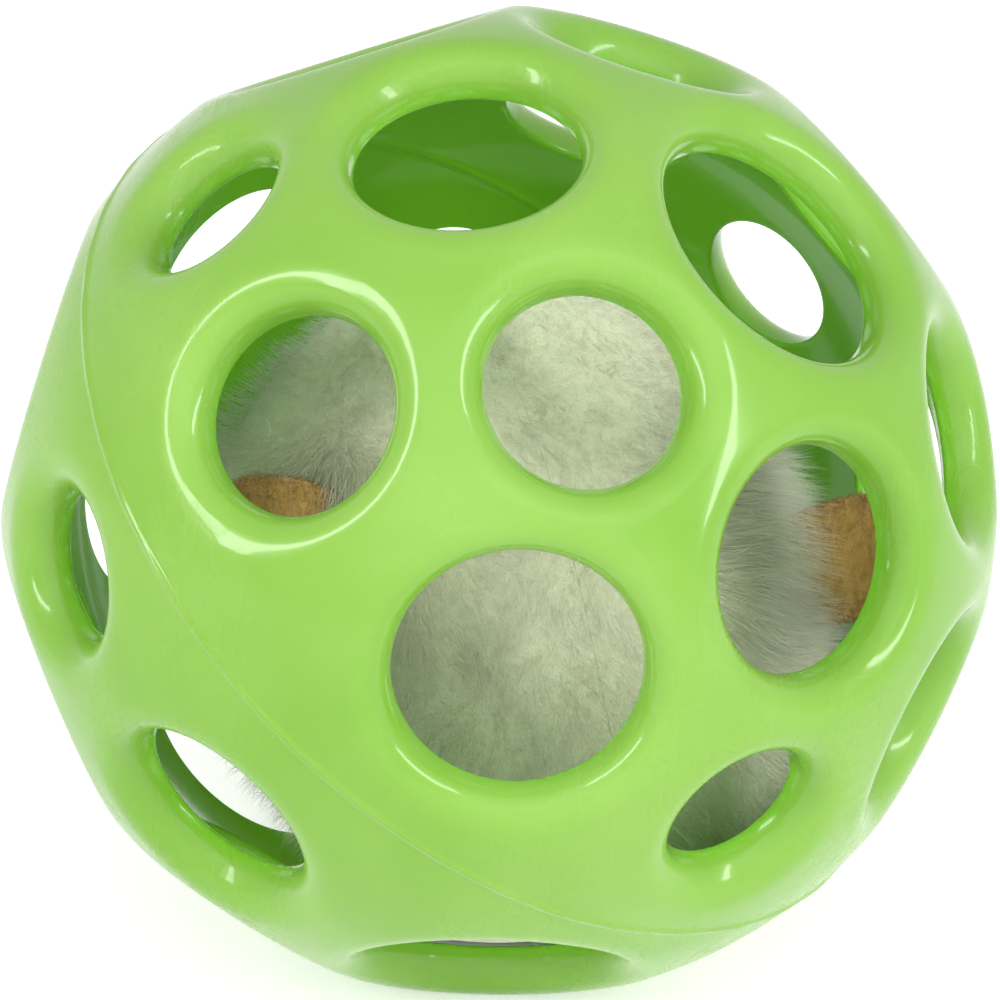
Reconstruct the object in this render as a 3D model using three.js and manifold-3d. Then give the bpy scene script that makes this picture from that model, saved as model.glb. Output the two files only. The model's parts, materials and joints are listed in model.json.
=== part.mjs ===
// A perforated rubber ball for cats with a furry toy mouse loose inside it.
// Millimetres, +Z up. The ball stands on the lip of one hole; the origin is the
// middle of its box, on the floor, and -Y is the side that the viewer faces.
import * as THREE from "three";
import { mergeVertices, toCreasedNormals } from "three/addons/utils/BufferGeometryUtils.js";
import Module from "manifold-3d";

const wasm = await Module();
wasm.setup();

// Ball
const ballRadius = 45;
const wallThickness = 4.7;
const seamGap = 0.3; // weld line between the two moulded halves
const lipWidth = 3.2; // how far a hole's rounded lip reaches out from its throat
const standFlat = 0.4; // the lip that carries the ball is worn flat by this much

// Hole throats, from the pole of a half towards its seam
const poleHoleRadius = 11.6;
const innerSmallHoleRadius = 8.6;
const innerLargeHoleRadius = 10;
const outerMiddleHoleRadius = 8.8;
const outerLargeHoleRadius = 10.8;
const outerSmallHoleRadius = 6.6;

// Rings of holes on one half: angle down from the pole, and heading of the first hole
const holeRings = [
  { count: 1, down: 0, heading: 0, radius: poleHoleRadius },
  { count: 3, down: 36.2, heading: 0, radius: innerSmallHoleRadius },
  { count: 3, down: 40.1, heading: 60, radius: innerLargeHoleRadius },
  { count: 3, down: 66.7, heading: -22, radius: outerMiddleHoleRadius },
  { count: 3, down: 66.7, heading: 23.2, radius: outerLargeHoleRadius },
  { count: 3, down: 72.4, heading: 62.2, radius: outerSmallHoleRadius },
];
const lowerHalfTwist = 31.5; // the lower half is the mirrored upper half, turned by this
const standRing = holeRings[2]; // the ball stands on the first of these holes, in its lower half
const poleHeading = -28.1; // where the upper pole points, seen from above

// Mouse, standing on its rump
const mouseRunningGap = 0.3; // to the inner wall that it rests on and rolls along
const bodyWidth = 52;
const bodyDepth = 40;
const bodyLength = 66;
const bodyAside = -0.5; // from the ball's middle, to the viewer's right
const bodyForward = 4; // from the ball's middle, towards the viewer
const skinThickness = 3;
const sewnGap = 0.3; // between the sewn panels, and between skin and stuffing
const bellyPanelDepth = 9; // how far the belly panel wraps round the body
const mouseHeading = 25; // its back is turned this far to the viewer's right
const mouseLean = 11; // to the viewer's left
// Half outline of the body, as shares of half its width and of its length
const bodyOutline = [
  [0, 0],
  [0.48, 0.024],
  [0.86, 0.1],
  [0.98, 0.24],
  [1, 0.41],
  [0.96, 0.59],
  [0.88, 0.71],
  [0.72, 0.83],
  [0.42, 0.93],
  [0.16, 0.985],
  [0, 1],
];

// Ears, tail and bead face
const earRootWidth = 10;
const earWidth = 11.5;
const earLength = 14;
const earBulgeShare = 0.4; // of the length, where the sides' curve pulls outwards
const earSideShare = 0.62; // of the width, how far it pulls there
const earTipShare = 0.55; // of the width, how far it pulls at the tip
const earThickness = 1.5;
const earRootGap = 0.5; // lets the felt flex at its root
const leftEarDrop = 17; // below the nose; the two are sewn on unevenly
const rightEarDrop = 34.5;
const earRootHeading = 58; // from the back's middle line
const earSplay = 75;
const tailWidth = 3;
const tailThickness = 1.6;
const tailStart = -76; // angles along the inner wall, up from the ball's middle
const tailEnd = -8;
const tailHeading = 24; // swung aside from the belly's middle line, clear of the holes
const tailWallGap = 1.2;
const eyeRadius = 1.7;
const eyeDrop = 2.5; // below the nose
const eyeHeading = 60;
const noseRadius = 2.2;
const beadGap = 0.3;

// Facets
const ballSegments = 42;
const arcSegments = 10;
const holeSegments = 18;
const lipSegments = 3;
const bodySegments = 24;
const bodyRings = 14;
const beadSegments = 12;
const earSegments = 7;
const tailSegments = 24;
const tailSides = 4; // to a half of its section
const creaseAngle = 35; // edges sharper than this stay sharp
const weldTolerance = 1e-4; // corners closer than this are one corner

const innerRadius = ballRadius - wallThickness;
const mouseReach = innerRadius - mouseRunningGap;
const rad = THREE.MathUtils.degToRad;

// Solids

// Turns a closed geometry into a solid that can be joined and cut
function solid(geometry) {
  const bare = geometry.clone();
  bare.deleteAttribute("normal");
  bare.deleteAttribute("uv");
  const merged = mergeVertices(bare, weldTolerance);
  return new wasm.Manifold(
    new wasm.Mesh({
      numProp: 3,
      vertProperties: merged.attributes.position.array,
      triVerts: new Uint32Array(merged.index.array),
    }),
  );
}

function meshOf(name, made, material) {
  const { vertProperties, triVerts } = made.getMesh();
  const geometry = new THREE.BufferGeometry();
  geometry.setAttribute("position", new THREE.BufferAttribute(vertProperties, 3));
  geometry.setIndex(new THREE.BufferAttribute(triVerts, 1));
  const mesh = new THREE.Mesh(toCreasedNormals(geometry, rad(creaseAngle)), material);
  mesh.name = name;
  return mesh;
}

// Revolves a profile of [radius, height] points about Z
function revolve(profile, segments) {
  const points = profile.map(([radius, height]) => new THREE.Vector2(radius, height));
  return new THREE.LatheGeometry(points, segments).rotateX(Math.PI / 2);
}

function box(width, depth, height, x, y, z) {
  return solid(new THREE.BoxGeometry(width, depth, height).translate(x, y, z));
}

function beadSolid(radius, { x, y, z }) {
  return solid(new THREE.SphereGeometry(radius, beadSegments, beadSegments / 2).translate(x, y, z));
}

// Ball

// Unit vector at an angle down from +Z and at a heading from +X
function direction(down, heading) {
  const across = Math.sin(rad(down));
  return new THREE.Vector3(
    across * Math.cos(rad(heading)),
    across * Math.sin(rad(heading)),
    Math.cos(rad(down)),
  );
}

// Height of a point on a sphere, measured along an axis that it stands off by offset
const heightOnSphere = (radius, offset) => Math.sqrt(radius ** 2 - offset ** 2);

// One hole: a straight throat that opens through a rounded lip onto the outside
function holeCutter(throatRadius) {
  const mouthRadius = throatRadius + lipWidth;
  const throatHeight = heightOnSphere(innerRadius, throatRadius);
  const mouthHeight = heightOnSphere(ballRadius, mouthRadius);
  const inside = throatHeight - wallThickness;
  const outside = ballRadius + wallThickness;
  const profile = [
    [0, inside],
    [throatRadius, inside],
  ];
  for (let i = 0; i <= lipSegments; i += 1) {
    const turn = (i / lipSegments) * (Math.PI / 2);
    profile.push([
      throatRadius + lipWidth * (1 - Math.cos(turn)),
      throatHeight + (mouthHeight - throatHeight) * Math.sin(turn),
    ]);
  }
  const clear = mouthRadius + lipWidth;
  profile.push([clear, mouthHeight], [clear, outside], [0, outside]);
  return revolve(profile, holeSegments);
}

// Directions and radii of the holes of one half, in the ball's own frame
function holesOfHalf(isLower) {
  return holeRings.flatMap(({ count, down, heading, radius }) =>
    Array.from({ length: count }, (_, k) => {
      const turn = heading + (360 / count) * k;
      const towards = isLower ? direction(180 - down, turn + lowerHalfTwist) : direction(down, turn);
      return { towards, radius };
    }),
  );
}

// Half of the hollow ball, closed by a flat ring at the seam
function bowl(isLower) {
  const profile = [];
  const arc = (radius, from, to) => {
    for (let i = 0; i <= arcSegments; i += 1) {
      const angle = from + ((to - from) * i) / arcSegments;
      const across = angle === Math.PI / 2 ? 0 : radius * Math.cos(angle);
      profile.push([across, radius * Math.sin(angle)]);
    }
  };
  arc(ballRadius, Math.asin(seamGap / 2 / ballRadius), Math.PI / 2);
  arc(innerRadius, Math.PI / 2, Math.asin(seamGap / 2 / innerRadius));
  profile.push(profile[0]);
  const geometry = revolve(profile, ballSegments);
  return solid(isLower ? geometry.rotateX(Math.PI) : geometry);
}

function perforatedHalf(isLower) {
  const up = new THREE.Vector3(0, 0, 1);
  return holesOfHalf(isLower).reduce((half, { towards, radius }) => {
    const turn = new THREE.Quaternion().setFromUnitVectors(up, towards);
    return half.subtract(solid(holeCutter(radius).applyQuaternion(turn)));
  }, bowl(isLower));
}

// Turns the ball's own frame so that the standing hole faces down
const standDirection = direction(180 - standRing.down, standRing.heading + lowerHalfTwist);
const standUp = standDirection.clone().negate();
const poleSide = new THREE.Vector3(0, 0, 1).projectOnPlane(standUp).normalize();
const standing = new THREE.Matrix4()
  .makeBasis(poleSide, standUp.clone().cross(poleSide), standUp)
  .transpose();
const ballTurn = new THREE.Matrix4().makeRotationZ(rad(poleHeading)).multiply(standing);
const standHeight = heightOnSphere(ballRadius, standRing.radius + lipWidth) - standFlat;

// A half in the standing pose, with the worn flat that the ball rests on
function standingHalf(isLower) {
  const half = perforatedHalf(isLower).transform(ballTurn.elements);
  const worn = box(2 * ballRadius, 2 * ballRadius, ballRadius, 0, 0, -standHeight - ballRadius / 2);
  return half.subtract(worn);
}

// Mouse

// The body's middle line in the mouse's own frame, whose origin is the ball's middle
const bodyMiddle = new THREE.Vector2(bodyAside, -bodyForward);
bodyMiddle.rotateAround(new THREE.Vector2(), -rad(mouseHeading));

// The body's outer form, made smaller all round by inset
function bodyForm(inset) {
  const outlinePoints = bodyOutline.map(([across, along]) => new THREE.Vector2(across, along));
  const outline = new THREE.SplineCurve(outlinePoints).getPoints(bodyRings);
  const profile = outline.map(({ x, y }, i) => [i % bodyRings ? x : 0, y]);
  const form = revolve(profile, bodySegments);
  form.scale(bodyWidth / 2 - inset, bodyDepth / 2 - inset, bodyLength - 2 * inset);
  return solid(form.translate(bodyMiddle.x, bodyMiddle.y, inset - mouseReach));
}

const cavity = solid(new THREE.SphereGeometry(mouseReach, ballSegments, ballSegments / 2));
const bodyOuter = bodyForm(0).intersect(cavity);

// A point on the body's surface, at a drop below the nose and a heading from the back
function onBody(drop, heading) {
  const share = 1 - drop / bodyLength;
  const after = bodyOutline.findIndex(([, along]) => along > share);
  const [low, high] = [bodyOutline[after - 1], bodyOutline[after]];
  const across = THREE.MathUtils.mapLinear(share, low[1], high[1], low[0], high[0]);
  return new THREE.Vector3(
    bodyMiddle.x + across * (bodyWidth / 2) * Math.sin(rad(heading)),
    bodyMiddle.y - across * (bodyDepth / 2) * Math.cos(rad(heading)),
    bodyLength - drop - mouseReach,
  );
}

const eyePlaces = [-eyeHeading, eyeHeading].map((heading) => onBody(eyeDrop, heading));
const nosePlace = new THREE.Vector3(bodyMiddle.x, bodyMiddle.y, bodyLength - mouseReach);

// Sockets that the beads sit in
function cutSockets(skin) {
  const sockets = [...eyePlaces.map((place) => [place, eyeRadius]), [nosePlace, noseRadius]];
  return sockets.reduce(
    (cut, [place, radius]) => cut.subtract(beadSolid(radius + beadGap, place)),
    skin,
  );
}

const skinShell = cutSockets(bodyOuter.subtract(bodyForm(skinThickness)));
const bellyEdge = bodyMiddle.y + bodyDepth / 2 - bellyPanelDepth;
const wide = 2 * ballRadius;

function sidePanel(side) {
  const half = box(wide, wide, wide, bodyMiddle.x + (side * (wide + sewnGap)) / 2, 0, 0);
  const belly = box(wide, wide, wide, 0, wide / 2 + bellyEdge - sewnGap, 0);
  return skinShell.intersect(half).subtract(belly);
}

function bellyPanel() {
  return skinShell.intersect(box(wide, wide, wide, 0, wide / 2 + bellyEdge, 0));
}

function stuffing() {
  return cutSockets(bodyForm(skinThickness + sewnGap)).intersect(cavity);
}

// A felt ear in its own frame: root along Y through the origin, tip towards +X.
// Each side bulges to the ear's width, then rounds into the tip.
function earGeometry() {
  const half = earRootWidth / 2;
  const bulge = earLength * earBulgeShare;
  const side = earWidth * earSideShare;
  const shoulder = earWidth * earTipShare;
  const shape = new THREE.Shape();
  shape.moveTo(-half, -half);
  shape.lineTo(0, -half);
  shape.bezierCurveTo(bulge, -side, earLength, -shoulder, earLength, 0);
  shape.bezierCurveTo(earLength, shoulder, bulge, side, 0, half);
  shape.lineTo(-half, half);
  const flat = new THREE.ExtrudeGeometry(shape, {
    depth: earThickness,
    bevelEnabled: false,
    curveSegments: earSegments,
  });
  return flat.translate(0, 0, -earThickness / 2);
}

// The ear's pivot stands at its root on the body, and its mesh hangs on the pivot
function ear(name, side, drop) {
  const pivot = new THREE.Group();
  pivot.position.copy(onBody(drop, side * earRootHeading));
  const outward = new THREE.Vector3(side * Math.sin(rad(earSplay)), -Math.cos(rad(earSplay)), 0);
  const along = new THREE.Vector3(0, 0, 1);
  pivot.quaternion.setFromRotationMatrix(
    new THREE.Matrix4().makeBasis(outward, along, outward.clone().cross(along)),
  );
  pivot.updateMatrix();
  const toMouse = pivot.matrix;
  const room = bodyForm(-earRootGap);
  const cut = solid(earGeometry().applyMatrix4(toMouse)).subtract(room).intersect(cavity);
  pivot.add(meshOf(name, cut.transform(toMouse.clone().invert().elements), felt));
  return pivot;
}

// The tail starts at the rump and follows the inner wall up behind the belly
function tail() {
  const reach = mouseReach - tailWallGap - tailThickness / 2;
  const side = rad(tailHeading);
  const points = Array.from({ length: tailSegments / 2 + 1 }, (_, i) => {
    const angle = THREE.MathUtils.lerp(rad(tailStart), rad(tailEnd), (2 * i) / tailSegments);
    const out = reach * Math.cos(angle);
    return new THREE.Vector3(-out * Math.sin(side), out * Math.cos(side), reach * Math.sin(angle));
  });
  const section = new THREE.Shape();
  section.absellipse(0, 0, tailThickness / 2, tailWidth / 2, 0, 2 * Math.PI);
  const strip = new THREE.ExtrudeGeometry(section, {
    steps: tailSegments,
    curveSegments: tailSides,
    bevelEnabled: false,
    extrudePath: new THREE.CatmullRomCurve3(points),
  });
  return solid(strip).subtract(bodyForm(-sewnGap));
}

// Materials

const paint = (color, roughness) => new THREE.MeshStandardMaterial({ color, roughness, metalness: 0 });
const rubber = paint(0x9bdb5a, 0.28);
const fur = paint(0xe6e2cf, 0.95);
const wadding = paint(0xf3f1ea, 1);
const felt = paint(0xa9783a, 0.9);
const bead = paint(0x15120f, 0.15);

// Assembly

const ball = new THREE.Group();
ball.add(meshOf("upper_shell_half", standingHalf(false), rubber));
ball.add(meshOf("lower_shell_half", standingHalf(true), rubber));

const mouse = new THREE.Group();
mouse.rotation.set(0, -rad(mouseLean), rad(mouseHeading), "YZX");
mouse.add(meshOf("mouse_left_skin", sidePanel(-1), fur));
mouse.add(meshOf("mouse_right_skin", sidePanel(1), fur));
mouse.add(meshOf("mouse_belly_skin", bellyPanel(), fur));
mouse.add(meshOf("mouse_stuffing", stuffing(), wadding));
mouse.add(ear("left_ear", -1, leftEarDrop));
mouse.add(ear("right_ear", 1, rightEarDrop));
mouse.add(meshOf("tail", tail(), felt));
mouse.add(meshOf("left_eye", beadSolid(eyeRadius, eyePlaces[0]), bead));
mouse.add(meshOf("right_eye", beadSolid(eyeRadius, eyePlaces[1]), bead));
mouse.add(meshOf("nose", beadSolid(noseRadius, nosePlace), bead));
ball.add(mouse);

const assembly = new THREE.Group();
assembly.add(ball);
assembly.updateMatrixWorld(true);
const bounds = new THREE.Box3().setFromObject(assembly, true);
const middle = bounds.getCenter(new THREE.Vector3());
ball.position.set(-middle.x, -middle.y, -bounds.min.z);

export default assembly;
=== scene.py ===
import json
import math

import bmesh
import bpy
import numpy as np
from mathutils import Matrix, Vector


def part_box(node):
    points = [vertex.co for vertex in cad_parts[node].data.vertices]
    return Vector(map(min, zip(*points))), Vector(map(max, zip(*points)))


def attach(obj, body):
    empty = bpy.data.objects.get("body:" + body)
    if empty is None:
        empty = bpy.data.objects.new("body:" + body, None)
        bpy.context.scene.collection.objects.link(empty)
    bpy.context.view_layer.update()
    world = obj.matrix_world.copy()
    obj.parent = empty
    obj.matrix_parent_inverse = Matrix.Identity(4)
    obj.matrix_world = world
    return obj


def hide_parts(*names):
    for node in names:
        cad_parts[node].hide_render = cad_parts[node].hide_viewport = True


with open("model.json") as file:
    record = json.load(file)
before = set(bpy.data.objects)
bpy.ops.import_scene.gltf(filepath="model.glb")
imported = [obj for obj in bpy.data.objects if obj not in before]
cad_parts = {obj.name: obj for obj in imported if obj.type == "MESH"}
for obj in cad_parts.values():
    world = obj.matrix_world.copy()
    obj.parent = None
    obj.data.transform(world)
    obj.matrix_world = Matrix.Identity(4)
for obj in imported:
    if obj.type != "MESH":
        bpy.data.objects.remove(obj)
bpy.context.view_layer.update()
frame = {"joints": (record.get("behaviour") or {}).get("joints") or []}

# Shapes are worked out in millimetres and written to their meshes in metres
mm = 0.001
joints = {joint["name"]: joint for joint in frame["joints"]}
ballCentre = np.array(joints["mouse_tumble"]["pos_m"]) / mm
randomDraws = np.random.default_rng(20)


def unit(vectors):
    return vectors / np.linalg.norm(vectors, axis=-1, keepdims=True)


def turned(axis, degrees):
    return np.array(Matrix.Rotation(math.radians(degrees), 3, axis))


def turnsAround(count):
    return np.linspace(0, 2 * math.pi, count, endpoint=False)


def newObject(name, data):
    made = bpy.data.objects.new(name, data)
    bpy.context.scene.collection.objects.link(made)
    return made


# Camera: the photograph's view, on a long lens
view = {
    "distance": 630.0,  # from the ball's middle
    "elevation": 25.34,
    "roll": 1.84,
    "lens": 250.3,
    "sensor": 36.0,
    "aside": 0.09,  # how far the camera stands off the line through the middle
    "above": 0.27,
}


# Right, up and towards the viewer, for a view tilted by its elevation and rolled a little
def viewAxes():
    tilt = math.radians(view["elevation"])
    roll = math.radians(view["roll"])
    back = np.array([0, -math.cos(tilt), math.sin(tilt)])
    level = np.array([0, math.sin(tilt), math.cos(tilt)])
    right = np.array([math.cos(roll), 0, 0]) + math.sin(roll) * level
    return right, np.cross(back, right), back


def makeCamera():
    right, up, back = viewAxes()
    place = ballCentre + view["distance"] * back + view["aside"] * right + view["above"] * up
    data = bpy.data.cameras.new("camera")
    data.lens = view["lens"]
    data.sensor_width = view["sensor"]
    data.clip_end = 10
    camera = newObject("camera", data)
    turn = np.column_stack([right, up, back])
    camera.matrix_world = Matrix.Translation(place * mm) @ Matrix(turn.tolist()).to_4x4()
    bpy.context.scene.camera = camera


makeCamera()
print("camera set")


# Mesh helpers

# Points in millimetres and faces as lists of corners become a smooth piece that rides on a body
def meshPiece(name, points, faces, material, body):
    mesh = bpy.data.meshes.new(name)
    mesh.from_pydata((points * mm).tolist(), [], faces)
    mesh.polygons.foreach_set("use_smooth", np.ones(len(mesh.polygons), bool))
    mesh.materials.append(material)
    mesh.update()
    piece = newObject(name, mesh)
    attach(piece, body)
    return piece


# Quads of a grid that is numbered row by row: each joins two neighbours of one row to the next row's
def gridFaces(rows, columns, start=0, wraps=True):
    across = np.arange(columns if wraps else columns - 1)
    down = np.arange(rows - 1)[:, None]
    here = start + down * columns + across
    beside = start + down * columns + (across + 1) % columns
    return np.stack([here, here + columns, beside + columns, beside], axis=-1).reshape(-1, 4)


# Corners at the same place become one, and faces that shrink to a line go
def welded(points, faces, tolerance=2e-4):
    keys = np.round(points / tolerance).astype(np.int64)
    _, first, owner = np.unique(keys, axis=0, return_index=True, return_inverse=True)
    owner = owner.reshape(-1)
    kept = []
    for face in owner[faces].tolist():
        corners = [c for i, c in enumerate(face) if c != face[i - 1]]
        if len(set(corners)) > 2:
            kept.append(corners)
    return points[first], kept


def weldedGrid(grid):
    return welded(grid.reshape(-1, 3), gridFaces(*grid.shape[:2]))


# Turns every face of a closed piece outwards
def repairNormals(piece):
    made = bmesh.new()
    made.from_mesh(piece.data)
    bmesh.ops.recalc_face_normals(made, faces=made.faces)
    made.to_mesh(piece.data)
    made.free()


# Shader node helpers

# An 8-bit colour as the shader's linear one
def linear(red, green, blue):
    share = np.array([red, green, blue]) / 255
    return (*np.where(share > 0.04045, ((share + 0.055) / 1.055) ** 2.4, share / 12.92), 1.0)


def setInputs(node, values):
    for key, value in values.items():
        node.inputs[key].default_value = value


def newNode(tree, kind, values=None, **settings):
    made = tree.nodes.new(kind)
    for key, value in settings.items():
        setattr(made, key, value)
    setInputs(made, values or {})
    return made


# A node group with named sockets: (name, kind, value) going in and (name, kind) coming out
def makeGroup(name, inputs, outputs):
    group = bpy.data.node_groups.new(name, "ShaderNodeTree")
    for label, kind, value in inputs:
        socket = group.interface.new_socket(label, in_out="INPUT", socket_type="NodeSocket" + kind)
        socket.default_value = value
    for label, kind in outputs:
        group.interface.new_socket(label, in_out="OUTPUT", socket_type="NodeSocket" + kind)
    return group, newNode(group, "NodeGroupInput"), newNode(group, "NodeGroupOutput")


def placeGroup(tree, group, **values):
    return newNode(tree, "ShaderNodeGroup", values, node_tree=group).outputs["Mask"]


# Turns a value into colours at rising stops of (place, colour)
def ramp(tree, source, stops):
    made = newNode(tree, "ShaderNodeValToRGB")
    for place, _ in stops[1:-1]:
        made.color_ramp.elements.new(place)
    for element, (place, colour) in zip(made.color_ramp.elements, stops):
        element.position = place
        element.color = colour
    tree.links.new(source, made.inputs["Fac"])
    return made.outputs["Color"]


# Links another node's output to a socket, or sets the socket to a plain value
def feed(tree, value, socket):
    if hasattr(value, "links"):
        tree.links.new(value, socket)
    else:
        socket.default_value = value


# Sockets 6 and 7 of a colour mix are its two colours, and output 2 is the colour that it makes
def blendColours(tree, share, first, second):
    made = newNode(tree, "ShaderNodeMix", data_type="RGBA")
    feed(tree, share, made.inputs["Factor"])
    feed(tree, first, made.inputs[6])
    feed(tree, second, made.inputs[7])
    return made.outputs[2]


def mathNode(tree, operation, first, second=0.0, clamp=False):
    made = newNode(tree, "ShaderNodeMath", operation=operation, use_clamp=clamp)
    for socket, value in zip(made.inputs, (first, second)):
        feed(tree, value, socket)
    return made.outputs[0]


# A Bump node between a height and the shader's normal, with its distance in metres
def softBump(tree, shader, height, strength, distance):
    bump = newNode(tree, "ShaderNodeBump", {"Strength": strength, "Distance": distance})
    tree.links.new(height, bump.inputs["Height"])
    tree.links.new(bump.outputs["Normal"], shader.inputs["Normal"])


# Object coordinates, stretched and turned
def mapped(tree, scale=(1, 1, 1), rotation=(0, 0, 0)):
    place = newNode(tree, "ShaderNodeTexCoord").outputs["Object"]
    mapping = newNode(tree, "ShaderNodeMapping", {"Scale": scale, "Rotation": rotation})
    tree.links.new(place, mapping.inputs["Vector"])
    return mapping.outputs["Vector"]


def noise(tree, vector, scale, detail=2.0, roughness=0.5, distortion=0.0):
    made = newNode(tree, "ShaderNodeTexNoise", {
        "Scale": scale, "Detail": detail, "Roughness": roughness, "Distortion": distortion,
    })
    tree.links.new(vector, made.inputs["Vector"])
    return made.outputs["Fac"]


# A material with a shader linked to its output: its tree and shader come back with it
def newMaterial(name):
    material = bpy.data.materials.new(name)
    material.use_nodes = True
    tree = material.node_tree
    tree.nodes.clear()
    shader = newNode(tree, "ShaderNodeBsdfPrincipled")
    output = newNode(tree, "ShaderNodeOutputMaterial")
    tree.links.new(shader.outputs["BSDF"], output.inputs["Surface"])
    return material, tree, shader


# Rubber of the ball
rubber = {
    "colour": linear(137, 190, 69),
    "deeper": linear(127, 183, 55),
    "paler": linear(148, 198, 84),
    "paintedInsideLight": linear(127, 208, 32),  # inside: painted light, lighter and greener where bounced light would fall inside the ball
    "dust": linear(70, 82, 40),
    "insideLightFrom": 42.0,  # radius from which the painted inside light grows further in, over the next value
    "insideLightOver": 2.0,
    "roughness": 0.22,
    "scratchRoughness": 0.2,
    "scratchDepth": 0.12,
    "cloudScale": 28.0,
    "flowScale": 70.0,
    "flowFrom": 0.55,  # marks show where the flow noise is above this
    "flowPaling": 0.8,
    "smudgeScale": 46.0,
    "smudgeSpread": 0.16,  # of the roughness
    "rippleScale": 120.0,
    "rippleHeight": 0.5,  # of the bump's own height, as are the flow's and the scratches'
    "flowHeight": 0.35,
    "bump": 0.35,
    "bumpHeight": 0.0004,  # in metres
}


# Fine lines along two directions: noise stretched 30 to 50 times, kept only near its middle level and
# in patches
def scratchGroup():
    group, enter, leave = makeGroup(
        "fineScratches",
        [("Scale", "Float", 300.0), ("Amount", "Float", 1.0)],
        [("Mask", "Float")],
    )
    lineSharpness, patchScale, gain = 28.0, 55.0, 6.0
    sets = []
    for turn, stretch in (((0.3, 0.5, 0.2), (1, 0.02, 1)), ((1.2, 0.1, 0.9), (1, 1, 0.03))):
        made = newNode(group, "ShaderNodeTexNoise", {"Detail": 1.0, "Roughness": 0.4})
        group.links.new(mapped(group, stretch, turn), made.inputs["Vector"])
        group.links.new(enter.outputs["Scale"], made.inputs["Scale"])
        near = mathNode(group, "ABSOLUTE", mathNode(group, "SUBTRACT", made.outputs["Fac"], 0.5))
        blurred = mathNode(group, "MULTIPLY", near, lineSharpness)
        line = mathNode(group, "SUBTRACT", 1.0, blurred, clamp=True)
        patch = mathNode(group, "SUBTRACT", noise(group, mapped(group), patchScale, 1.0), 0.5, clamp=True)
        sets.append(mathNode(group, "MULTIPLY", line, patch))
    scaled = mathNode(group, "MULTIPLY", mathNode(group, "ADD", *sets), gain)
    mask = mathNode(group, "MULTIPLY", scaled, enter.outputs["Amount"], clamp=True)
    group.links.new(mask, leave.inputs["Mask"])
    return group


# Small specks: a share of a Voronoi pattern's cells is picked, and each gets a round spot at its point
def speckGroup():
    group, enter, leave = makeGroup(
        "dustSpecks",
        [("Scale", "Float", 260.0), ("Share", "Float", 0.03), ("Size", "Float", 0.1)],
        [("Mask", "Float")],
    )
    cells = newNode(group, "ShaderNodeTexVoronoi")
    group.links.new(mapped(group), cells.inputs["Vector"])
    group.links.new(enter.outputs["Scale"], cells.inputs["Scale"])
    split = newNode(group, "ShaderNodeSeparateColor")
    group.links.new(cells.outputs["Color"], split.inputs["Color"])
    picked = mathNode(group, "LESS_THAN", split.outputs[0], enter.outputs["Share"])
    reach = mathNode(group, "MULTIPLY", enter.outputs["Size"], split.outputs[1])
    spot = mathNode(group, "LESS_THAN", cells.outputs["Distance"], reach)
    group.links.new(mathNode(group, "MULTIPLY", picked, spot), leave.inputs["Mask"])
    return group


scratches = scratchGroup()
specks = speckGroup()


# Soft moulded rubber: even colour with cloudy drift and flow marks, painted lighter inside for bounced
# light, a waxy coat, scratches and dust
def rubberMaterial():
    material, tree, shader = newMaterial("glossyRubber")
    cloud = noise(tree, mapped(tree), rubber["cloudScale"], 3.0, 0.55, 0.6)
    flow = noise(tree, mapped(tree, (1, 0.18, 0.5), (0.5, 0.3, 0.7)), rubber["flowScale"], 3.0, 0.6, 1.4)
    colour = ramp(tree, cloud, [(0.3, rubber["deeper"]), (0.5, rubber["colour"]), (0.72, rubber["paler"])])
    marks = mathNode(tree, "SUBTRACT", flow, rubber["flowFrom"], clamp=True)
    marks = mathNode(tree, "MULTIPLY", marks, rubber["flowPaling"])
    colour = blendColours(tree, marks, colour, rubber["paler"])
    middle = newNode(tree, "ShaderNodeCombineXYZ", dict(zip("XYZ", (ballCentre * mm).tolist())))
    far = newNode(tree, "ShaderNodeVectorMath", operation="DISTANCE")
    tree.links.new(mapped(tree), far.inputs[0])
    tree.links.new(middle.outputs[0], far.inputs[1])
    # Painted light: inside the ball the colour turns lighter and greener, standing in for light bounced
    # round its inside
    inwards = mathNode(tree, "SUBTRACT", rubber["insideLightFrom"] * mm, far.outputs["Value"])
    insideLightShare = mathNode(tree, "MULTIPLY", inwards, 1 / (rubber["insideLightOver"] * mm), clamp=True)
    colour = blendColours(tree, insideLightShare, colour, rubber["paintedInsideLight"])
    dust = placeGroup(tree, specks, Scale=520.0, Share=0.004, Size=0.2)
    colour = blendColours(tree, dust, colour, rubber["dust"])
    tree.links.new(colour, shader.inputs["Base Color"])

    fine = placeGroup(tree, scratches, Scale=420.0, Amount=0.7)
    smudge = noise(tree, mapped(tree), rubber["smudgeScale"], 4.0, 0.6)
    spread = rubber["smudgeSpread"]
    smudged = mathNode(tree, "MULTIPLY", smudge, spread)
    rough = mathNode(tree, "ADD", rubber["roughness"] - spread / 2, smudged)
    scratched = mathNode(tree, "MULTIPLY", fine, rubber["scratchRoughness"])
    tree.links.new(mathNode(tree, "ADD", rough, scratched), shader.inputs["Roughness"])
    ripple = noise(tree, mapped(tree), rubber["rippleScale"], 3.0, 0.5)
    rippled = mathNode(tree, "MULTIPLY", ripple, rubber["rippleHeight"])
    flowing = mathNode(tree, "MULTIPLY", flow, rubber["flowHeight"])
    height = mathNode(tree, "ADD", rippled, flowing)
    height = mathNode(tree, "SUBTRACT", height, mathNode(tree, "MULTIPLY", fine, rubber["scratchDepth"]))
    softBump(tree, shader, height, rubber["bump"], rubber["bumpHeight"])
    setInputs(shader, {
        "Coat Weight": 0.28, "Coat Roughness": 0.05, "IOR": 1.33,
        "Subsurface Weight": 0.1, "Subsurface Radius": (0.4, 1.0, 0.15), "Subsurface Scale": 0.0015,
    })
    return material


rubberFinish = rubberMaterial()

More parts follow.
